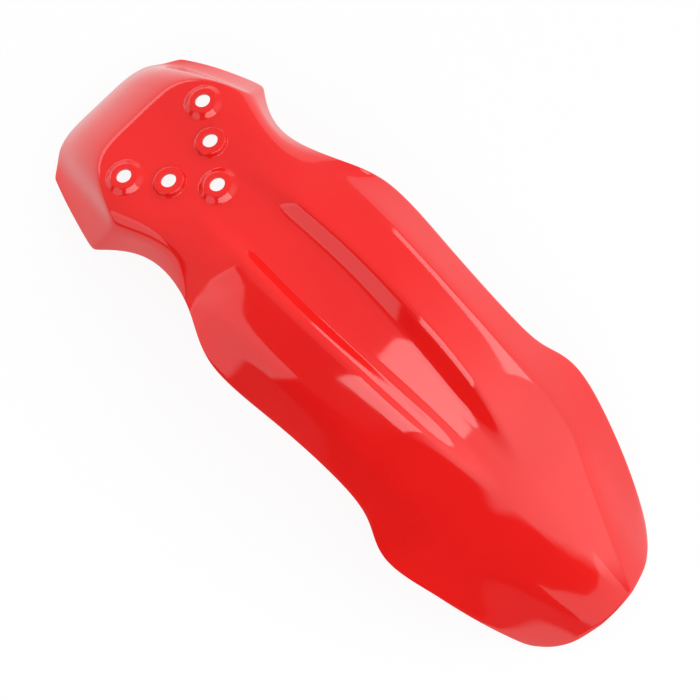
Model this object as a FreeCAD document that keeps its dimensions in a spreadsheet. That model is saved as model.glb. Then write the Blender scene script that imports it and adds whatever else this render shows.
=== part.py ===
"""Front mudguard of a small dirt bike: one moulded plastic shell.

Millimetres. +X points to the nose, +Y to the rider's left, +Z up. The part rests on its
nose corners and on the rear edge of its flap, and the origin lies under its middle.
Lengthwise sizes are measured from the flap's rear corners.
"""
import FreeCAD
import Part
import math
import os

from FreeCAD import Placement, Rotation, Vector

NODE = "mudguard"
DEGREE = 3

DIMENSIONS = {
    # wall and rim
    "wall": 2.6, "rim_break": 0.8, "total_length": 581.0,
    # rear flap: its lower edge, its corner and the ear beside the plate
    "flap_bulge": 5.0, "flap_bow": 5.0,
    "flap_corner_x": 6.0, "flap_corner_half": 57.0, "flap_corner_height": 2.0,
    "flap_side_x": 18.0, "flap_side_half": 71.0, "flap_side_height": 14.0,
    "ear_x": 89.0, "ear_half": 94.5, "ear_height": 55.0, "ear_sweep": 2.1,
    # mounting plate: it starts at the flap's crease and rises forward
    "plate_x": 43.0, "plate_height": 88.0, "plate_angle": 21.0, "plate_length": 137.0,
    "plate_side_x": 94.0, "plate_side_half": 72.0, "plate_side_height": 98.0,
    # holes and bosses on the plate, along it from the flap's crease
    "front_hole_reach": 96.4, "middle_hole_back": 31.8, "outer_hole_back": 62.0,
    "middle_hole_half": 22.0, "outer_hole_half": 42.0,
    "hole_diameter": 12.0, "boss_height": 4.4,
    "cone_boss_top": 10.0, "cone_boss_base": 15.5, "drum_boss_top": 11.5, "drum_boss_base": 12.5,
    # neck, where the forks pass
    "neck_x": 146.0, "neck_half": 71.4, "neck_height": 100.0,
    "neck_crease_x": 140.0, "neck_crease_half": 60.5, "neck_crease_height": 116.0,
    "fork_x": 184.0, "fork_half": 81.5, "fork_height": 119.0,
    # shoulder, the widest place behind the middle
    "shoulder_x": 221.0, "shoulder_half": 97.0, "shoulder_height": 107.0,
    "shoulder_crease_x": 215.0, "shoulder_crease_half": 69.5, "shoulder_crease_height": 134.0,
    "shoulder_floor_x": 230.0, "shoulder_floor_height": 142.5,
    "side_x": 289.0, "side_half": 94.6, "side_height": 105.0,
    # waist, the narrow place ahead of the middle
    "waist_x": 360.0, "waist_half": 91.7, "waist_height": 98.0,
    "waist_crease_x": 346.0, "waist_crease_half": 66.0, "waist_crease_height": 128.5,
    "waist_floor_x": 345.0, "waist_floor_height": 135.5,
    "hip_x": 392.0, "hip_half": 97.0, "hip_height": 83.0,
    # front corner, the widest place of all
    "front_x": 424.0, "front_half": 106.3, "front_height": 66.0,
    "front_crease_x": 430.0, "front_crease_half": 66.5, "front_crease_height": 95.0,
    "front_floor_x": 430.0, "front_floor_height": 112.0,
    "cheek_x": 486.0, "cheek_half": 92.0, "cheek_height": 45.0,
    # nose
    "nose_x": 553.0, "nose_half": 69.0, "nose_height": 2.0,
    "nose_crease_x": 532.0, "nose_crease_half": 42.0, "nose_crease_height": 44.0,
    "nose_floor_x": 520.0, "nose_floor_height": 64.0,
    "tip_height": 22.0, "tip_roundness": 1.5,
    # centre channel between the two ridges
    "ridge_height": 14.0, "ridge_start": 95.0, "ridge_full": 205.0,
    "channel_fade": 360.0, "channel_end": 450.0,
    "channel_floor_half": 18.5, "channel_end_floor_half": 9.0, "floor_narrows": 240.0,
    "channel_top_half": 30.0, "channel_end_top_half": 14.0, "ridges_narrow": 320.0, "ridges_meet": 480.0,
    # spacing of the control rows, and the softness of the creases
    "row_pitch": 30.0, "crease_softness": 3.5, "flap_softness": 8.0, "tip_softness": 10.0,
}

document = FreeCAD.newDocument("mudguard")
sheet = document.addObject("Spreadsheet::Sheet", "Sizes")
for line, (alias, value) in enumerate(DIMENSIONS.items(), start=1):
    sheet.set(f"A{line}", alias)
    sheet.set(f"B{line}", str(value))
    sheet.setAlias(f"B{line}", alias)
document.recompute()


def size(alias):
    """A driving dimension, read from the sheet."""
    return float(sheet.get(alias))


def ramp(value, start, end):
    """Smooth step from 0 at start to 1 at end."""
    share = min(max((value - start) / (end - start), 0.0), 1.0)
    return share * share * (3.0 - 2.0 * share)


def mix(first, second, share):
    return first + (second - first) * share


def station(name):
    """A named place on the rim or on a crease."""
    return Vector(size(f"{name}_x"), size(f"{name}_half"), size(f"{name}_height"))


def floor_point(name):
    """A named place on the centre line."""
    return Vector(size(f"{name}_floor_x"), 0.0, size(f"{name}_floor_height"))


# Guide lines along the body, all run by the centre line's x

plate_angle = math.radians(size("plate_angle"))
plate_start = Vector(size("plate_x"), 0.0, size("plate_height"))
plate_slope = Vector(math.cos(plate_angle), 0.0, math.sin(plate_angle))
plate_end = plate_start + plate_slope * size("plate_length")
front_hole = plate_start + plate_slope * size("front_hole_reach")
tip = Vector(size("total_length"), 0.0, size("tip_height"))

BODY_STATIONS = ("shoulder", "waist", "front", "nose")
RIM_STATIONS = ("ear", "neck", "fork", "shoulder", "side", "waist", "hip", "front", "cheek", "nose")

run_of = {"ear": plate_start.x, "neck": front_hole.x, "plate": plate_end.x, "tip": tip.x}
for name in BODY_STATIONS:
    run_of[name] = size(f"{name}_floor_x")
# The rim alone has places half-way between these
run_of["fork"] = mix(run_of["neck"], run_of["shoulder"], 0.5)
run_of["side"] = mix(run_of["shoulder"], run_of["waist"], 0.5)
run_of["hip"] = mix(run_of["waist"], run_of["front"], 0.5)
run_of["cheek"] = mix(run_of["front"], run_of["nose"], 0.5)


def runs(*names):
    return [run_of[name] for name in names]


def guide(points, run, **tangents):
    """A smooth curve through points, one for each value of run."""
    curve = Part.BSplineCurve()
    curve.interpolate(Points=points, Parameters=run, **tangents)
    return curve


def pace(first, second, first_run, second_run):
    """The tangent of a straight line between two places."""
    return (second - first) * (1.0 / (second_run - first_run))


def into_tip(half):
    """The tangent with which a line runs into the tip, square to the centre plane."""
    return Vector(0.0, -size("tip_roundness") * half / (run_of["tip"] - run_of["nose"]), 0.0)


rim_points = [station(name) for name in RIM_STATIONS] + [tip]
from_ear = pace(rim_points[0], rim_points[1], *runs("ear", "neck"))
from_ear.y *= size("ear_sweep")
rim_guide = guide(
    rim_points, runs(*RIM_STATIONS, "tip"),
    InitialTangent=from_ear, FinalTangent=into_tip(size("nose_half")), Scale=False)

crease_points = [station("plate_side"), station("neck_crease")]
crease_points += [station(f"{name}_crease") for name in BODY_STATIONS] + [tip]
from_plate_side = pace(crease_points[0], crease_points[1], *runs("ear", "neck"))
crease_guide = guide(
    crease_points, runs("ear", "neck", *BODY_STATIONS, "tip"),
    InitialTangent=from_plate_side, FinalTangent=into_tip(size("nose_crease_half")), Scale=False)

floor_points = [plate_end] + [floor_point(name) for name in BODY_STATIONS] + [tip]
floor_guide = guide(floor_points, runs("plate", *BODY_STATIONS, "tip"))


def centre(run):
    """The centre line: straight along the plate, then along the channel's floor to the tip."""
    if run <= plate_end.x:
        return plate_start + plate_slope * ((run - plate_start.x) / plate_slope.x)
    return floor_guide.value(run)


# Sections, each a row of control points from the centre line to the rim

def channel(run):
    """Ridge height and the channel's half-widths, as shares of the crease's half-width."""
    rise = ramp(run, size("ridge_start"), size("ridge_full"))
    fall = ramp(run, size("channel_fade"), size("channel_end"))
    floor_taper = ramp(run, size("floor_narrows"), size("channel_end"))
    top_taper = ramp(run, size("ridges_narrow"), size("ridges_meet"))
    half = size("shoulder_crease_half")
    floor_share = mix(size("channel_floor_half"), size("channel_end_floor_half"), floor_taper) / half
    top_share = mix(size("channel_top_half"), size("channel_end_top_half"), top_taper) / half
    return size("ridge_height") * rise * (1.0 - fall), floor_share, top_share


def section(middle, crease, rim, ridge, floor_share, top_share, flatness):
    """Half a row: flat floor, sloped wall, top flank to the crease, then the side flank.

    Each corner is softened by a narrow strip, from a little before it to a little after it;
    at the channel these strips take at most two thirds of the wall.
    """
    soft = size("crease_softness") / size("shoulder_crease_half")
    bow_power = mix(2.0, 5.0, flatness)
    droop_power = mix(2.0, 6.0, flatness)
    slope = flatness * math.tan(plate_angle)

    def top(share):
        on_wall = min(max((share - floor_share) / (top_share - floor_share), 0.0), 1.0)
        on_flank = min((1.0 - share) / (1.0 - top_share), 1.0)
        x = mix(middle.x, crease.x, share ** bow_power)
        z = mix(middle.z + slope * (x - middle.x), crease.z, share ** droop_power)
        return Vector(x, share * crease.y, z + ridge * on_wall * on_flank)

    row = [middle]
    wall_soft = min(soft, (top_share - floor_share) / 3.0)
    for share in (floor_share, top_share):
        row += [top(share - wall_soft), top(share + wall_soft)]
    row.append(top(mix(top_share, 1.0, 0.5)))
    flank = rim - crease
    row += [top(1.0 - soft), crease + flank * (2.0 * soft), rim]
    return row


def body_section(run):
    flatness = 1.0 - ramp(run, front_hole.x, size("ridge_full"))
    return section(centre(run), crease_guide.value(run), rim_guide.value(run), *channel(run), flatness)


def rear_section():
    """The lower edge of the flap."""
    middle = Vector(-size("flap_bulge"), 0.0, 0.0)
    return section(middle, station("flap_corner"), station("flap_side"), *channel(plate_start.x), 1.0)


def full_row(half_row):
    """Mirrors half a row about the centre plane, from the right rim to the left rim."""
    right = [Vector(point.x, -point.y, point.z) for point in reversed(half_row[1:])]
    return right + half_row


def control_rows():
    """Rows of control points from the flap's lower edge to the tip of the nose."""
    lower = rear_section()
    upper = body_section(plate_start.x)
    flap = upper[0] - lower[0]
    flap_normal = Vector(-flap.z, 0.0, flap.x).normalize()
    below_crease = 1.0 - size("flap_softness") / flap.Length
    rows = []
    for share in (0.0, 1.0 / 3.0, 2.0 / 3.0, below_crease):
        bow = flap_normal * (size("flap_bow") * 4.0 * share * (1.0 - share))
        rows.append([low + (high - low) * share + bow for low, high in zip(lower, upper)])
    rows.append(upper)
    rows.append(body_section(plate_start.x + size("flap_softness")))
    body = tip.x - plate_start.x
    count = round(body / size("row_pitch"))
    for index in range(1, count):
        rows.append(body_section(plate_start.x + body * index / count))
    rows.append(body_section(tip.x - size("tip_softness")))
    rows.append([tip] * len(lower))
    return [full_row(row) for row in rows]


# The shell: outer skin, inner skin one wall below it, and a rim with broken edges between them

def knots(count, degree):
    """Even clamped knots for a number of control points, with their multiplicities."""
    spans = count - degree
    values = [float(index) for index in range(spans + 1)]
    return values, [degree + 1] + [1] * (spans - 1) + [degree + 1]


def surface(rows, along_degree, across_degree):
    """A spline surface pulled by rows of control points."""
    along, along_mults = knots(len(rows), along_degree)
    across, across_mults = knots(len(rows[0]), across_degree)
    result = Part.BSplineSurface()
    result.buildFromPolesMultsKnots(
        rows, along_mults, across_mults, along, across, False, False, along_degree, across_degree)
    return result


def greville(count):
    """The parameter at which each control point pulls hardest."""
    last = count - DEGREE
    full = [0.0] * DEGREE + [float(index) for index in range(last + 1)] + [float(last)] * DEGREE
    return [sum(full[index + 1: index + 1 + DEGREE]) / DEGREE for index in range(count)]


def upward_normals(rows):
    """Unit normals of the skin at its control points; the whole tip shares one."""
    smooth = surface(rows, DEGREE, DEGREE)
    across = greville(len(rows[0]))
    normals = []
    for u in greville(len(rows))[:-1]:
        normals.append([smooth.normal(u, v) for v in across])
    if normals[len(rows) // 2][len(across) // 2].z < 0.0:
        normals = [[normal * -1.0 for normal in row] for row in normals]
    slope = tip - rows[-2][len(across) // 2]
    normals.append([Vector(-slope.z, 0.0, slope.x).normalize()] * len(across))
    return normals


def outward(line, normals, inside):
    """Directions out of the skin, square to a boundary line and in the skin's plane."""
    result = []
    for index, point in enumerate(line):
        before = line[max(index - 1, 0)]
        after = line[min(index + 1, len(line) - 1)]
        direction = (after - before).cross(normals[index]).normalize()
        if direction.dot(point - inside[index]) < 0.0:
            direction = direction * -1.0
        result.append(direction)
    return result


def rim_lines(outer_line, inner_line, directions, normals):
    """The four lines of a rim: outer edge, two broken edges and inner edge."""
    reach = size("rim_break")
    upper = [point + (way - up) * reach for point, way, up in zip(outer_line, directions, normals)]
    lower = [point + (way + up) * reach for point, way, up in zip(inner_line, directions, normals)]
    return [outer_line, upper, lower, inner_line]


def strips(lines, degree):
    """Faces ruled between neighbouring lines."""
    faces = []
    for first, second in zip(lines, lines[1:]):
        rows = [list(pair) for pair in zip(first, second)]
        faces.append(surface(rows, degree, 1).toShape())
    return faces


def segments(lines):
    """Faces ruled between neighbouring lines and cut at each control point."""
    faces = []
    for index in range(len(lines[0]) - 1):
        faces += strips([line[index: index + 2] for line in lines], 1)
    return faces


def mitre(first, second):
    return (first + second) * (1.0 / (1.0 + first.dot(second)))


def columns(rows):
    return [list(column) for column in zip(*rows)]


def shell_solid():
    outer = control_rows()
    normals = upward_normals(outer)
    wall = size("wall")
    inner = [[point - up * wall for point, up in zip(*pair)] for pair in zip(outer, normals)]
    outer_columns = columns(outer)
    inner_columns = columns(inner)
    normal_columns = columns(normals)

    right = outward(outer_columns[0], normal_columns[0], outer_columns[1])
    left = outward(outer_columns[-1], normal_columns[-1], outer_columns[-2])
    rear = outward(outer[0], normals[0], outer[1])
    up_at_tip = normals[-1][0]
    right[-1] = left[-1] = Vector(up_at_tip.z, 0.0, -up_at_tip.x)
    right[0] = rear[0] = mitre(right[0], rear[0])
    left[0] = rear[-1] = mitre(left[0], rear[-1])

    faces = strips(outer_columns, DEGREE) + strips(inner_columns, DEGREE)
    faces += strips(rim_lines(outer_columns[0], inner_columns[0], right, normal_columns[0]), DEGREE)
    faces += strips(rim_lines(outer_columns[-1], inner_columns[-1], left, normal_columns[-1]), DEGREE)
    faces += segments(rim_lines(outer[0], inner[0], rear, normals[0]))
    shell = Part.makeShell(faces)
    shell.sewShape()
    solid = Part.makeSolid(shell)
    if solid.Volume < 0.0:
        solid.reverse()
    return solid


shell = document.addObject("Part::Feature", "Shell")
shell.Shape = shell_solid()
shell.Placement = Placement()


# Bosses and holes, square to the mounting plate

HOLES = {
    # name: boss shape, distance behind the front hole, distance to the left
    "FrontHole": ("cone", "0", "0"),
    "MiddleHoleLeft": ("drum", "Sizes.middle_hole_back", "Sizes.middle_hole_half"),
    "MiddleHoleRight": ("drum", "Sizes.middle_hole_back", "-Sizes.middle_hole_half"),
    "OuterHoleLeft": ("cone", "Sizes.outer_hole_back", "Sizes.outer_hole_half"),
    "OuterHoleRight": ("cone", "Sizes.outer_hole_back", "-Sizes.outer_hole_half"),
}


def place_on_plate(item, back, side, level):
    """Stands an object square on the plate, at a level above its outer face."""
    item.Placement = Placement(Vector(), Rotation(Vector(0.0, -1.0, 0.0), size("plate_angle")))
    reach = f"(Sizes.front_hole_reach - ({back}))"
    forward = f"{reach} * cos(Sizes.plate_angle) - ({level}) * sin(Sizes.plate_angle)"
    upward = f"{reach} * sin(Sizes.plate_angle) + ({level}) * cos(Sizes.plate_angle)"
    item.setExpression("Placement.Base.x", f"Sizes.plate_x + {forward}")
    item.setExpression("Placement.Base.y", side)
    item.setExpression("Placement.Base.z", f"Sizes.plate_height + {upward}")


def cone(name, base_radius, top_radius, back, side, level, height):
    item = document.addObject("Part::Cone", name)
    item.setExpression("Radius1", base_radius)
    item.setExpression("Radius2", top_radius)
    item.setExpression("Height", height)
    place_on_plate(item, back, side, level)
    return item


bosses = []
cutters = []
for name, (kind, back, side) in HOLES.items():
    base = f"Sizes.{kind}_boss_base"
    top = f"Sizes.{kind}_boss_top"
    bosses.append(cone(
        f"{name}Boss", base, top, back, side,
        "-Sizes.wall / 2", "Sizes.boss_height + Sizes.wall / 2"))
    cutters.append(cone(
        f"{name}Hollow", f"{base} - Sizes.wall", f"{top} - Sizes.wall", back, side,
        "-2 * Sizes.wall", "Sizes.boss_height + Sizes.wall"))
    bore = document.addObject("Part::Cylinder", name)
    bore.setExpression("Radius", "Sizes.hole_diameter / 2")
    bore.setExpression("Height", "Sizes.boss_height + 4 * Sizes.wall")
    place_on_plate(bore, back, side, "-2 * Sizes.wall")
    cutters.append(bore)

with_bosses = document.addObject("Part::MultiFuse", "ShellWithBosses")
with_bosses.Shapes = [shell] + bosses
all_cutters = document.addObject("Part::MultiFuse", "HollowsAndHoles")
all_cutters.Shapes = cutters
mudguard = document.addObject("Part::Cut", "Mudguard")
mudguard.Base = with_bosses
mudguard.Tool = all_cutters
mudguard.Label = NODE
document.recompute()

for item in document.Objects:
    if "Invalid" in item.State or "Error" in item.State:
        raise RuntimeError(f"{item.Name} failed")
if mudguard.Shape.isNull() or not mudguard.Shape.isValid():
    raise RuntimeError("the mudguard's solid is broken")

# The origin goes under the middle of the part, on the ground it rests on
box = mudguard.Shape.BoundBox
mudguard.Placement = Placement(Vector(-box.Center.x, -box.Center.y, -box.ZMin), Rotation())
document.recompute()

print("volume", mudguard.Shape.Volume, "solids", len(mudguard.Shape.Solids), mudguard.Shape.BoundBox)
os.makedirs("parts", exist_ok=True)
mudguard.Shape.exportStep(f"parts/{mudguard.Label}.step")
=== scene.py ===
"""Looks of the dirt bike mudguard: one smooth shell of glossy red plastic, in a white studio."""

import math

import bpy
import numpy as np
from mathutils import Matrix, Vector


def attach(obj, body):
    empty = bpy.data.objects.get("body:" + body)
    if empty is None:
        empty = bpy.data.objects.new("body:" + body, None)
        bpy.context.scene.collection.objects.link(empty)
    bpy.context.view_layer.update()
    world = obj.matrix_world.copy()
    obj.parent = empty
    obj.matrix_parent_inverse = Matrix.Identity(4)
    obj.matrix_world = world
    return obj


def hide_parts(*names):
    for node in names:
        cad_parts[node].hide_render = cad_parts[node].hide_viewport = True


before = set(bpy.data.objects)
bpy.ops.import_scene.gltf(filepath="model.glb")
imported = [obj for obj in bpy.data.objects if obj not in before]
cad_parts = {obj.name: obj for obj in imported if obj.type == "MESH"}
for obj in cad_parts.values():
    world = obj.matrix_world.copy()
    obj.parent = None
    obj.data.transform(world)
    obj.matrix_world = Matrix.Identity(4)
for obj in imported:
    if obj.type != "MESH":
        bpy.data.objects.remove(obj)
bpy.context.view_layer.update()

MM = 0.001

# Sizes in millimetres: X runs from the flap's lower edge to the nose, and ORIGIN is the frame's origin
ORIGIN = np.array([288.088, 0.0, -1.393])
WALL = 2.6
RIM_BREAK = 0.8
RIM_BREAK_STEPS = 3
RIM_BREAK_ANGLE = math.radians(55.0)
TIP = np.array([581.0, 0.0, 22.0])
TIP_ROUNDNESS = 1.5

PLATE_START = np.array([43.0, 0.0, 88.0])
PLATE_ANGLE = math.radians(21.0)
PLATE_SLOPE = np.array([math.cos(PLATE_ANGLE), 0.0, math.sin(PLATE_ANGLE)])
PLATE_NORMAL = np.array([-math.sin(PLATE_ANGLE), 0.0, math.cos(PLATE_ANGLE)])
PLATE_LENGTH = 137.0
PLATE_END = PLATE_START + PLATE_SLOPE * PLATE_LENGTH
FRONT_HOLE_REACH = 96.4

FLAP_BULGE = 5.0
FLAP_BOW = 5.0
FLAP_CORNER = np.array([6.0, 57.0, 2.0])
FLAP_SIDE = np.array([18.0, 71.0, 14.0])
EAR_SWEEP = 2.1

# Stations of the rim, the crease and the channel's floor: run along the centre line, and place
RIM = {
    "ear": (43.0, (89.0, 94.5, 55.0)),
    "neck": (133.0, (146.0, 71.4, 100.0)),
    "fork": (181.5, (184.0, 81.5, 119.0)),
    "shoulder": (230.0, (221.0, 97.0, 107.0)),
    "side": (287.5, (289.0, 94.6, 105.0)),
    "waist": (345.0, (360.0, 91.7, 98.0)),
    "hip": (387.5, (392.0, 97.0, 83.0)),
    "front": (430.0, (424.0, 106.3, 66.0)),
    "cheek": (475.0, (486.0, 92.0, 45.0)),
    "nose": (520.0, (553.0, 69.0, 2.0)),
}
CREASE = {
    "ear": (43.0, (94.0, 72.0, 98.0)),
    "neck": (133.0, (140.0, 60.5, 116.0)),
    "shoulder": (230.0, (215.0, 69.5, 134.0)),
    "waist": (345.0, (346.0, 66.0, 128.5)),
    "front": (430.0, (430.0, 66.5, 95.0)),
    "nose": (520.0, (532.0, 42.0, 44.0)),
}
CHANNEL_FLOOR = {
    "shoulder": (230.0, (230.0, 0.0, 142.5)),
    "waist": (345.0, (345.0, 0.0, 135.5)),
    "front": (430.0, (430.0, 0.0, 112.0)),
    "nose": (520.0, (520.0, 0.0, 64.0)),
}

# Channel: a low ledge beside the front boss, a short ramp up to the ridges, then a taper to the nose
RIDGE_HEIGHT, LEDGE_HEIGHT = 14.0, 5.0
LEDGE_START, LEDGE_FULL = 114.0, 160.0
RIDGE_START, RIDGE_FULL = 168.0, 190.0
PLATE_FADES, PLATE_GONE = 155.0, 197.0
CHANNEL_FADE, CHANNEL_END = 360.0, 450.0
CHANNEL_FLOOR_HALF, CHANNEL_END_FLOOR_HALF, FLOOR_NARROWS = 18.5, 9.0, 240.0
CHANNEL_TOP_HALF, CHANNEL_END_TOP_HALF = 31.5, 14.0
RIDGES_NARROW, RIDGES_MEET = 320.0, 480.0


def ramp(value, start, end):
    """Smooth step from 0 at start to 1 at end."""
    share = min(max((value - start) / (end - start), 0.0), 1.0)
    return share * share * (3.0 - 2.0 * share)


def mix(first, second, share):
    return first + (second - first) * share


class Guide:
    """A smooth line through places, one for each value of run."""

    def __init__(self, runs, places, first=None, last=None):
        self.runs = np.array(runs, float)
        self.places = np.array(places, float)
        count = len(runs)
        step = np.diff(self.runs)
        rise = np.diff(self.places, axis=0) / step[:, None]
        matrix = np.zeros((count, count))
        target = np.zeros((count, 3))
        for i in range(1, count - 1):
            matrix[i, i - 1: i + 2] = 1.0 / step[i - 1], 2.0 / step[i - 1] + 2.0 / step[i], 1.0 / step[i]
            target[i] = 3.0 * (rise[i - 1] / step[i - 1] + rise[i] / step[i])
        matrix[0, 0:2] = (2.0, 1.0) if first is None else (1.0, 0.0)
        target[0] = 3.0 * rise[0] if first is None else first
        matrix[-1, -2:] = (1.0, 2.0) if last is None else (0.0, 1.0)
        target[-1] = 3.0 * rise[-1] if last is None else last
        self.tangents = np.linalg.solve(matrix, target)

    def at(self, run):
        i = int(np.clip(np.searchsorted(self.runs, run) - 1, 0, len(self.runs) - 2))
        step = self.runs[i + 1] - self.runs[i]
        s = (run - self.runs[i]) / step
        start = self.places[i] * (2 * s**3 - 3 * s**2 + 1) + self.tangents[i] * step * (s**3 - 2 * s**2 + s)
        end = self.places[i + 1] * (3 * s**2 - 2 * s**3) + self.tangents[i + 1] * step * (s**3 - s**2)
        return start + end


def into_tip(half):
    """The tangent with which a line runs into the tip, square to the centre plane."""
    return np.array([0.0, -TIP_ROUNDNESS * half / (TIP[0] - RIM["nose"][0]), 0.0])


def guide_through(stations, first=None, last=None):
    runs = [run for run, place in stations.values()]
    places = [place for run, place in stations.values()]
    return Guide(runs + [TIP[0]], places + [TIP], first, last)


def pace(stations):
    """The tangent of the straight line between the first two stations."""
    (first_run, first), (second_run, second) = list(stations.values())[:2]
    return (np.array(second) - np.array(first)) / (second_run - first_run)


rim_guide = guide_through(RIM, pace(RIM) * [1.0, EAR_SWEEP, 1.0], into_tip(RIM["nose"][1][1]))
crease_guide = guide_through(CREASE, pace(CREASE), into_tip(CREASE["nose"][1][1]))
floor_guide = guide_through({"plate": (PLATE_END[0], PLATE_END), **CHANNEL_FLOOR})


def centre(run):
    """The centre line: straight along the plate, then along the channel's floor to the tip."""
    if run <= PLATE_END[0]:
        return PLATE_START + PLATE_SLOPE * ((run - PLATE_START[0]) / PLATE_SLOPE[0])
    return floor_guide.at(run)


def channel(run):
    """Ridge height and the channel's half-widths, as shares of the crease's half-width."""
    ledge = LEDGE_HEIGHT * ramp(run, LEDGE_START, LEDGE_FULL)
    ridge = mix(ledge, RIDGE_HEIGHT, ramp(run, RIDGE_START, RIDGE_FULL))
    fall = ramp(run, CHANNEL_FADE, CHANNEL_END)
    floor_taper = ramp(run, FLOOR_NARROWS, CHANNEL_END)
    top_taper = ramp(run, RIDGES_NARROW, RIDGES_MEET)
    half = CREASE["shoulder"][1][1]
    floor_share = mix(CHANNEL_FLOOR_HALF, CHANNEL_END_FLOOR_HALF, floor_taper) / half
    top_share = mix(CHANNEL_TOP_HALF, CHANNEL_END_TOP_HALF, top_taper) / half
    return ridge * (1.0 - fall), floor_share, top_share


# Corner rows of the shell's cage stand this far from each corner, in millimetres
CORNER_REACH = 2.2
CREASE_REACH = 4.0
FLAP_CREASE_REACH = 2.5
# Rows and columns between the corners, as shares of the flap, the ridge's outer slope and the flank
FLAP_ROWS = (0.0, 0.06, 0.3, 0.55, 0.8)
SLOPE_COLUMNS = (0.33, 0.67)
FLANK_COLUMNS = (0.36, 0.68, 1.0)
# A section turns from centre to crease by these powers: the arch, and the plate lengthwise and in height
ARCH_POWER = 2.0
PLATE_SWEEP_POWER = 5.0
PLATE_DROP_POWER = 6.0


def half_row(middle, crease, rim, ridge, floor_share, top_share, flatness):
    """Half a row of the cage, from the centre line over floor, wall, top and flank to the rim."""
    soft = CORNER_REACH / crease[1]
    crease_soft = CREASE_REACH / crease[1]
    slope = flatness * math.tan(PLATE_ANGLE)

    def top(share):
        on_wall = min(max((share - floor_share) / (top_share - floor_share), 0.0), 1.0)
        on_flank = min((1.0 - share) / (1.0 - top_share), 1.0)
        x = mix(middle[0], crease[0], share ** mix(ARCH_POWER, PLATE_SWEEP_POWER, flatness))
        level = middle[2] + slope * (x - middle[0])
        z = mix(level, crease[2], share ** mix(ARCH_POWER, PLATE_DROP_POWER, flatness))
        return np.array([x, share * crease[1], z + ridge * on_wall * on_flank])

    row = [middle, top(floor_share * 0.5)]
    wall_soft = min(soft, (top_share - floor_share) / 3.0)
    for share in (floor_share, top_share):
        row += [top(share - wall_soft), top(share + wall_soft)]
    row += [top(mix(top_share, 1.0, part)) for part in SLOPE_COLUMNS]
    row.append(top(1.0 - crease_soft))
    flank = rim - crease
    first = CREASE_REACH / np.linalg.norm(flank)
    row += [crease + flank * part for part in (first, *FLANK_COLUMNS)]
    return row


def body_row(run):
    flatness = 1.0 - ramp(run, PLATE_FADES, PLATE_GONE)
    return half_row(centre(run), crease_guide.at(run), rim_guide.at(run), *channel(run), flatness)


def flap_rows():
    """Rows of the rear flap, from its lower edge up to its crease with the plate."""
    lower_middle = np.array([-FLAP_BULGE, 0.0, 0.0])
    lower = half_row(lower_middle, FLAP_CORNER, FLAP_SIDE, *channel(PLATE_START[0]), 1.0)
    upper = body_row(PLATE_START[0])
    flap = upper[0] - lower[0]
    length = np.linalg.norm(flap)
    normal = np.array([-flap[2], 0.0, flap[0]]) / length
    rows = []
    for share in (*FLAP_ROWS, 1.0 - FLAP_CREASE_REACH / length):
        bow = normal * (FLAP_BOW * 4.0 * share * (1.0 - share))
        rows.append([low + (high - low) * share + bow for low, high in zip(lower, upper)])
    return rows


# Nose: where its rows start to fan out, and the crease's share of the front edge, with its softness
NOSE_FAN = 462.0
NOSE_ROWS = 8
CREASE_AT_EDGE = 0.42
EDGE_SOFTNESS = 0.13
HALVINGS = 40


def run_at_edge(share):
    """Where along the rim the front edge has this share of the nose's half-width."""
    low, high = RIM["nose"][0], TIP[0]
    for _ in range(HALVINGS):
        middle = 0.5 * (low + high)
        if rim_guide.at(middle)[1] > share * RIM["nose"][1][1]:
            low = middle
        else:
            high = middle
    return 0.5 * (low + high)


def nose_rows():
    """Rows that fan out from a square section to the front edge, so that no lines meet in the tip."""
    start = body_row(NOSE_FAN)
    crease_column = len(start) - len(FLANK_COLUMNS) - 1
    rim_half = start[-1][1]
    crease_half = start[crease_column][1]
    ends = []
    middles = []
    for column, place in enumerate(start):
        if column < crease_column:
            share = (CREASE_AT_EDGE - EDGE_SOFTNESS) * place[1] / start[crease_column - 1][1]
        else:
            on_flank = (place[1] - crease_half) / (rim_half - crease_half)
            share = mix(CREASE_AT_EDGE + EDGE_SOFTNESS, 1.0, on_flank)
        run = run_at_edge(share)
        ends.append(rim_guide.at(run))
        middles.append(body_row(0.5 * (NOSE_FAN + run))[column])
    rows = []
    for index in range(1, NOSE_ROWS + 1):
        t = index / NOSE_ROWS
        row = []
        for first, middle, last in zip(start, middles, ends):
            pull = 2.0 * middle - 0.5 * (first + last)
            row.append(first * (1 - t)**2 + pull * 2 * t * (1 - t) + last * t**2)
        rows.append(row)
    return rows


ROW_PITCH = 8.0
SMOOTHING = 2


def shell_cage():
    """Rows of places from the flap's lower edge to the front edge, each from rim to rim."""
    rows = flap_rows()
    first_run = PLATE_START[0] + FLAP_CREASE_REACH
    count = round((NOSE_FAN - first_run) / ROW_PITCH)
    rows += [body_row(mix(first_run, NOSE_FAN, index / count)) for index in range(count + 1)]
    rows += nose_rows()
    full = []
    for row in rows:
        right = [place * [1.0, -1.0, 1.0] for place in reversed(row[1:])]
        full.append(right + row)
    return full


# Bosses: the ring of each, as pairs of radius and level above the plate, from its foot to the hole
CONE_PROFILE = [
    (16.4, 0.0), (15.7, 0.1), (15.0, 0.5), (14.2, 1.2), (11.7, 3.4), (10.9, 4.05), (10.1, 4.35), (9.3, 4.4),
    (8.0, 4.4), (6.0, 4.4),
]
DRUM_PROFILE = [
    (13.9, 0.0), (13.4, 0.1), (12.9, 0.5), (12.6, 1.2), (12.0, 3.4), (11.6, 4.05), (10.9, 4.37), (10.2, 4.4),
    (8.0, 4.4), (6.0, 4.4),
]
BOSSES = [
    # distance behind the front hole, distance to the left, profile
    (0.0, 0.0, CONE_PROFILE),
    (31.8, 22.0, DRUM_PROFILE),
    (31.8, -22.0, DRUM_PROFILE),
    (62.0, 42.0, CONE_PROFILE),
    (62.0, -42.0, CONE_PROFILE),
]
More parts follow.
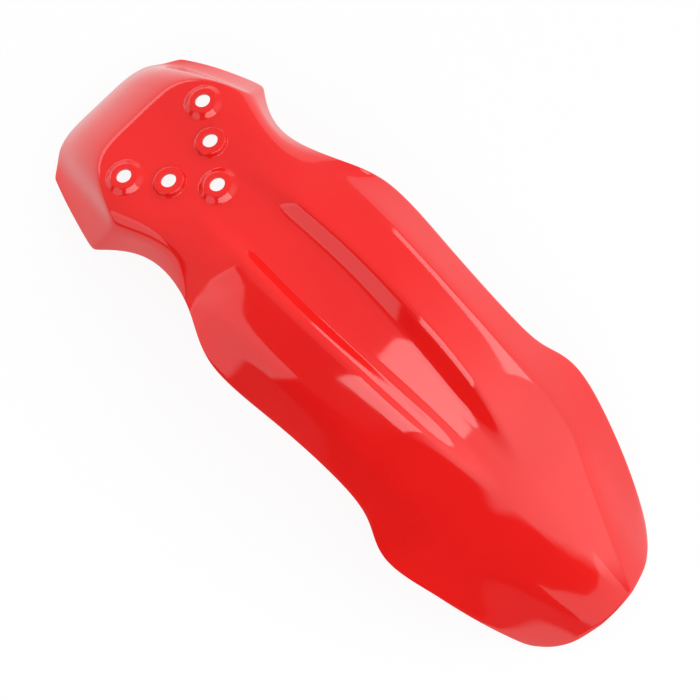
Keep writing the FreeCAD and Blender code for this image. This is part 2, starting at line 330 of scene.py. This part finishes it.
# The edges of a new opening lie no further outside its circle than this
OPENING_REACH = 5.0


def start_clean():
    if bpy.context.object and bpy.context.object.mode != "OBJECT":
        bpy.ops.object.mode_set(mode="OBJECT")
    bpy.ops.object.select_all(action="DESELECT")


def apply_modifier(piece, kind, **settings):
    modifier = piece.modifiers.new(kind.title(), kind)
    for name, value in settings.items():
        setattr(modifier, name, value)
    bpy.context.view_layer.objects.active = piece
    bpy.ops.object.modifier_apply(modifier=modifier.name)


def shaped_sheet(name):
    """A grid from -1 to 1 pulled to the cage's places and smoothed: the outer face of the shell."""
    cage = shell_cage()
    rows, columns = len(cage), len(cage[0])
    start_clean()
    bpy.ops.mesh.primitive_grid_add(x_subdivisions=rows - 1, y_subdivisions=columns - 1, size=2.0)
    sheet = bpy.context.object
    sheet.name = sheet.data.name = name
    for vertex in sheet.data.vertices:
        row = round((vertex.co.x + 1.0) / 2.0 * (rows - 1))
        column = round((vertex.co.y + 1.0) / 2.0 * (columns - 1))
        vertex.co = Vector((cage[row][column] - ORIGIN) * MM)
    apply_modifier(sheet, "SUBSURF", levels=SMOOTHING, render_levels=SMOOTHING, boundary_smooth="ALL")
    return sheet


def walk_round(neighbours):
    """The places of a closed ring in order, from the two neighbours of each."""
    ring = [min(neighbours)]
    ring.append(min(neighbours[ring[0]]))
    while len(ring) < len(neighbours):
        one, other = neighbours[ring[-1]]
        ring.append(other if one == ring[-2] else one)
    return ring


def raise_boss(sheet, back, side, profile):
    """Opens a round hole in the plate and draws its edge up into a boss, ring by ring."""
    foot = PLATE_START + PLATE_SLOPE * (FRONT_HOLE_REACH - back) + np.array([0.0, side, 0.0])
    foot = Vector((foot - ORIGIN) * MM)
    normal = Vector(PLATE_NORMAL)
    first_radius = profile[0][0] * MM

    def from_axis(point):
        away = point - foot
        return away - normal * away.dot(normal)

    start_clean()
    sheet.select_set(True)
    bpy.context.view_layer.objects.active = sheet
    mesh = sheet.data
    bpy.ops.object.mode_set(mode="EDIT")
    bpy.ops.mesh.select_mode(type="FACE")
    bpy.ops.mesh.select_all(action="DESELECT")
    bpy.ops.object.mode_set(mode="OBJECT")
    inside = {vertex.index for vertex in mesh.vertices if from_axis(vertex.co).length < first_radius}
    for polygon in mesh.polygons:
        polygon.select = not inside.isdisjoint(polygon.vertices)
    bpy.ops.object.mode_set(mode="EDIT")
    bpy.ops.mesh.delete(type="FACE")
    bpy.ops.mesh.select_mode(type="EDGE")
    bpy.ops.mesh.select_non_manifold(extend=False)
    bpy.ops.object.mode_set(mode="OBJECT")

    # Of all open edges only those of this opening stay selected, and they move onto its circle
    neighbours = {}
    for edge in mesh.edges:
        one, other = edge.vertices
        middle = 0.5 * (mesh.vertices[one].co + mesh.vertices[other].co)
        edge.select = edge.select and from_axis(middle).length < first_radius + OPENING_REACH * MM
        if edge.select:
            neighbours.setdefault(one, []).append(other)
            neighbours.setdefault(other, []).append(one)
    for vertex in mesh.vertices:
        vertex.select = vertex.index in neighbours
    ring = walk_round(neighbours)
    across = Vector((0.0, 1.0, 0.0))
    along = across.cross(normal)
    angles = [math.atan2(away.dot(across), away.dot(along)) for away in
              (from_axis(mesh.vertices[index].co) for index in ring)]
    turns = np.unwrap(angles)
    step = math.copysign(2.0 * math.pi / len(ring), turns[-1] - turns[0])
    first_angle = np.mean(turns - step * np.arange(len(ring)))
    for place, index in enumerate(ring):
        angle = first_angle + step * place
        mesh.vertices[index].co = foot + (along * math.cos(angle) + across * math.sin(angle)) * first_radius

    bpy.ops.object.mode_set(mode="EDIT")
    for (radius, level), (next_radius, next_level) in zip(profile, profile[1:]):
        bpy.ops.mesh.extrude_edges_move(TRANSFORM_OT_translate={"value": normal * (next_level - level) * MM})
        scale = next_radius / radius
        bpy.ops.transform.resize(value=(scale, scale, scale), center_override=foot + normal * next_level * MM)
    bpy.ops.object.mode_set(mode="OBJECT")


def face_up(sheet):
    """Turns all faces of an open sheet to its upper side."""
    bpy.ops.object.mode_set(mode="EDIT")
    bpy.ops.mesh.select_mode(type="FACE")
    bpy.ops.mesh.select_all(action="SELECT")
    bpy.ops.mesh.normals_make_consistent(inside=False)
    bpy.ops.object.mode_set(mode="OBJECT")
    if sum(polygon.normal.z for polygon in sheet.data.polygons) < 0.0:
        bpy.ops.object.mode_set(mode="EDIT")
        bpy.ops.mesh.flip_normals()
        bpy.ops.object.mode_set(mode="OBJECT")


shell = shaped_sheet("mudguard_shell")
for boss in BOSSES:
    raise_boss(shell, *boss)
face_up(shell)
apply_modifier(shell, "SOLIDIFY", thickness=WALL * MM, offset=-1.0, use_even_offset=True)
apply_modifier(shell, "BEVEL", width=RIM_BREAK * MM, segments=RIM_BREAK_STEPS,
               limit_method="ANGLE", angle_limit=RIM_BREAK_ANGLE)
start_clean()
shell.select_set(True)
bpy.context.view_layer.objects.active = shell
bpy.ops.object.shade_smooth()

# Glossy red plastic, with the faint waves and clouding of a moulded part
PLASTIC_IOR = 1.6
DEEP_RED = (0.80, 0.011, 0.010, 1.0)
LIGHT_RED = (0.87, 0.014, 0.012, 1.0)
NOISE_LOW, NOISE_HIGH = 0.3, 0.7
SMOOTHEST, ROUGHEST = 0.05, 0.08
WAVE_STRENGTH, WAVE_DEPTH = 0.05, 0.002
# Scale and detail of each noise
CLOUDS = (9.0, 3.0)
HAZE = (40.0, 4.0)
WAVES = (35.0, 1.0)


def new_material(name):
    material = bpy.data.materials.new(name)
    material.use_nodes = True
    return material, material.node_tree.nodes, material.node_tree.links


def noise_on_object(nodes, links, coordinates, scale, detail):
    noise = nodes.new("ShaderNodeTexNoise")
    noise.inputs["Scale"].default_value = scale
    noise.inputs["Detail"].default_value = detail
    links.new(coordinates.outputs["Object"], noise.inputs["Vector"])
    return noise


def map_value(nodes, links, source, low, high, low_value, high_value):
    """Maps the span from low to high onto another span of values."""
    span = nodes.new("ShaderNodeMapRange")
    span.inputs["From Min"].default_value = low
    span.inputs["From Max"].default_value = high
    span.inputs["To Min"].default_value = low_value
    span.inputs["To Max"].default_value = high_value
    links.new(source, span.inputs["Value"])
    return span.outputs["Result"]


def toward(nodes, links, vector, goal):
    """How far a vector points to a goal."""
    dot = nodes.new("ShaderNodeVectorMath")
    dot.operation = "DOT_PRODUCT"
    dot.inputs[1].default_value = goal
    links.new(vector, dot.inputs[0])
    return dot.outputs["Value"]


def graded(nodes, links, vector, goal, low, high, low_value, high_value):
    """A value that changes as a vector turns or moves toward a goal."""
    return map_value(nodes, links, toward(nodes, links, vector, goal), low, high, low_value, high_value)


def combine(nodes, links, operation, first, second):
    node = nodes.new("ShaderNodeMath")
    node.operation = operation
    links.new(first, node.inputs[0])
    links.new(second, node.inputs[1])
    return node.outputs[0]


red, nodes, links = new_material("glossy_red_plastic")
shader = nodes["Principled BSDF"]
shader.inputs["IOR"].default_value = PLASTIC_IOR
coordinates = nodes.new("ShaderNodeTexCoord")
clouds = noise_on_object(nodes, links, coordinates, *CLOUDS)
colours = nodes.new("ShaderNodeValToRGB")
colours.color_ramp.elements[0].position = NOISE_LOW
colours.color_ramp.elements[0].color = DEEP_RED
colours.color_ramp.elements[1].position = NOISE_HIGH
colours.color_ramp.elements[1].color = LIGHT_RED
links.new(clouds.outputs["Fac"], colours.inputs["Fac"])
links.new(colours.outputs["Color"], shader.inputs["Base Color"])
haze = noise_on_object(nodes, links, coordinates, *HAZE)
gloss = map_value(nodes, links, haze.outputs["Fac"], NOISE_LOW, NOISE_HIGH, SMOOTHEST, ROUGHEST)
links.new(gloss, shader.inputs["Roughness"])
waves = nodes.new("ShaderNodeBump")
waves.inputs["Strength"].default_value = WAVE_STRENGTH
waves.inputs["Distance"].default_value = WAVE_DEPTH
links.new(noise_on_object(nodes, links, coordinates, *WAVES).outputs["Fac"], waves.inputs["Height"])
links.new(waves.outputs["Normal"], shader.inputs["Normal"])
shell.data.materials.append(red)

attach(shell, "root")
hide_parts("mudguard")

# White floor: white where the camera sees it, and dark far to the front right in reflections
FLOOR_SIZE = 12.0
FLOOR_WHITE = (0.9, 0.9, 0.9, 1.0)
FLOOR_ROUGHNESS = 0.8
# Share of the glow in what is seen; the rest is the lit floor with its shadow
GLOW_SHARE = 0.9
# Glow in reflections: direction, metres along it where the fall begins and ends, and the two levels
GLOW_FALL = ((0.6, -0.8, 0.0), 0.34, 0.42, 0.84, 0.05)


def seen_directly(nodes, links):
    """1 for rays from the camera, a reflection or a clear body, else 0; and 1 for the camera alone."""
    path = nodes.new("ShaderNodeLightPath")
    seen = path.outputs["Is Camera Ray"]
    for kind in ("Is Glossy Ray", "Is Transmission Ray"):
        seen = combine(nodes, links, "MAXIMUM", seen, path.outputs[kind])
    return seen, path.outputs["Is Camera Ray"]


start_clean()
bpy.ops.mesh.primitive_plane_add(size=FLOOR_SIZE)
floor = bpy.context.object
floor.name = floor.data.name = "floor"
white, nodes, links = new_material("white_floor")
nodes["Principled BSDF"].inputs["Base Color"].default_value = FLOOR_WHITE
nodes["Principled BSDF"].inputs["Roughness"].default_value = FLOOR_ROUGHNESS
glow = nodes.new("ShaderNodeEmission")
seen, by_camera = seen_directly(nodes, links)
place = nodes.new("ShaderNodeTexCoord").outputs["Object"]
near = graded(nodes, links, place, *GLOW_FALL)
links.new(combine(nodes, links, "MAXIMUM", near, by_camera), glow.inputs["Strength"])
share = nodes.new("ShaderNodeMath")
share.operation = "MULTIPLY"
share.inputs[1].default_value = GLOW_SHARE
links.new(seen, share.inputs[0])
blend = nodes.new("ShaderNodeMixShader")
links.new(share.outputs[0], blend.inputs["Fac"])
links.new(nodes["Principled BSDF"].outputs["BSDF"], blend.inputs[1])
links.new(glow.outputs["Emission"], blend.inputs[2])
links.new(blend.outputs["Shader"], nodes["Material Output"].inputs["Surface"])
floor.data.materials.append(white)

# Studio: a soft box over the front right, a panel on the right, low boxes on the left, behind and in front
SOFT_BOXES = [
    # name, place, aim, width, height, brightness in a mirror
    ("overhead_box", (0.70, -0.57, 1.6), (0.70, -0.57, 0.0), 0.86, 1.86, 2.75),
    ("left_box", (0.43, 1.65, 0.38), (0.1, 0.0, 0.12), 1.27, 0.32, 2.2),
    ("right_panel", (-0.55, -1.72, 0.72), (0.0, 0.0, 0.14), 1.16, 1.28, 1.0),
    ("rear_box", (-1.9, 0.15, 0.36), (-0.25, 0.0, 0.08), 1.5, 0.6, 1.7),
    ("front_box", (1.8, 0.0, 0.19), (0.28, 0.0, 0.04), 1.45, 0.36, 0.8),
]


def soft_box(name, place, aim, width, height, radiance):
    """A rectangular lamp that looks this bright in a mirror."""
    lamp = bpy.data.lights.new(name, "AREA")
    lamp.shape = "RECTANGLE"
    lamp.size = width
    lamp.size_y = height
    lamp.energy = radiance * math.pi * width * height
    item = bpy.data.objects.new(name, lamp)
    item.location = place
    item.rotation_euler = (Vector(aim) - Vector(place)).to_track_quat("-Z", "Y").to_euler()
    bpy.context.scene.collection.objects.link(item)


for box in SOFT_BOXES:
    soft_box(*box)

# Camera, at the photograph's place
EYE = (np.array([350.2, -217.1, 1445.9]) - ORIGIN) * MM
BACK = Vector((0.04529806, -0.14841077, 0.98788781))
UP = Vector((-0.70085907, 0.69996239, 0.13729243))
FOCAL_PIXELS, FRAME_PIXELS = 1800.0, 700.0
SENSOR_WIDTH = 36.0
camera = bpy.data.objects.new("camera", bpy.data.cameras.new("camera"))
bpy.context.scene.collection.objects.link(camera)
turn = Matrix((UP.cross(BACK), UP, BACK)).transposed()
camera.matrix_world = Matrix.Translation(Vector(EYE)) @ turn.to_4x4()
camera.data.sensor_width = SENSOR_WIDTH
camera.data.lens = FOCAL_PIXELS / FRAME_PIXELS * SENSOR_WIDTH
bpy.context.scene.camera = camera

# Room: soft light from above and the left; reflections show it pale in front and dark on the right
# Each side: direction, the cosines between which it changes, and the two levels
SOFT_LIGHT = ((-0.2, 0.6, 0.77), -0.1, 1.0, 0.0, 1.32)
PALE_FRONT = ((0.86, 0.43, 0.28), 0.5, 1.0, 0.4, 1.4)
DARK_FRONT_RIGHT = ((0.422, -0.533, -0.733), 0.05, 0.12, 1.0, 0.03)
DARK_RIGHT = ((0.1, -0.85, 0.52), 0.82, 0.87, 1.0, 0.25)
world = bpy.data.worlds.new("studio")
bpy.context.scene.world = world
world.use_nodes = True
nodes, links = world.node_tree.nodes, world.node_tree.links
direction = nodes.new("ShaderNodeTexCoord").outputs["Generated"]
path = nodes.new("ShaderNodeLightPath")
soft = graded(nodes, links, direction, *SOFT_LIGHT)
pale = graded(nodes, links, direction, *PALE_FRONT)
front = graded(nodes, links, direction, *DARK_FRONT_RIGHT)
side = graded(nodes, links, direction, *DARK_RIGHT)
mirrored = combine(nodes, links, "MULTIPLY", pale, combine(nodes, links, "MULTIPLY", front, side))
level = nodes.new("ShaderNodeMix")
links.new(path.outputs["Is Glossy Ray"], level.inputs["Factor"])
links.new(soft, level.inputs["A"])
links.new(mirrored, level.inputs["B"])
strength = combine(nodes, links, "MAXIMUM", level.outputs["Result"], path.outputs["Is Camera Ray"])
links.new(strength, nodes["Background"].inputs["Strength"])
nodes["Background"].inputs["Color"].default_value = (1.0, 1.0, 1.0, 1.0)

bpy.context.scene.view_settings.view_transform = "Standard"
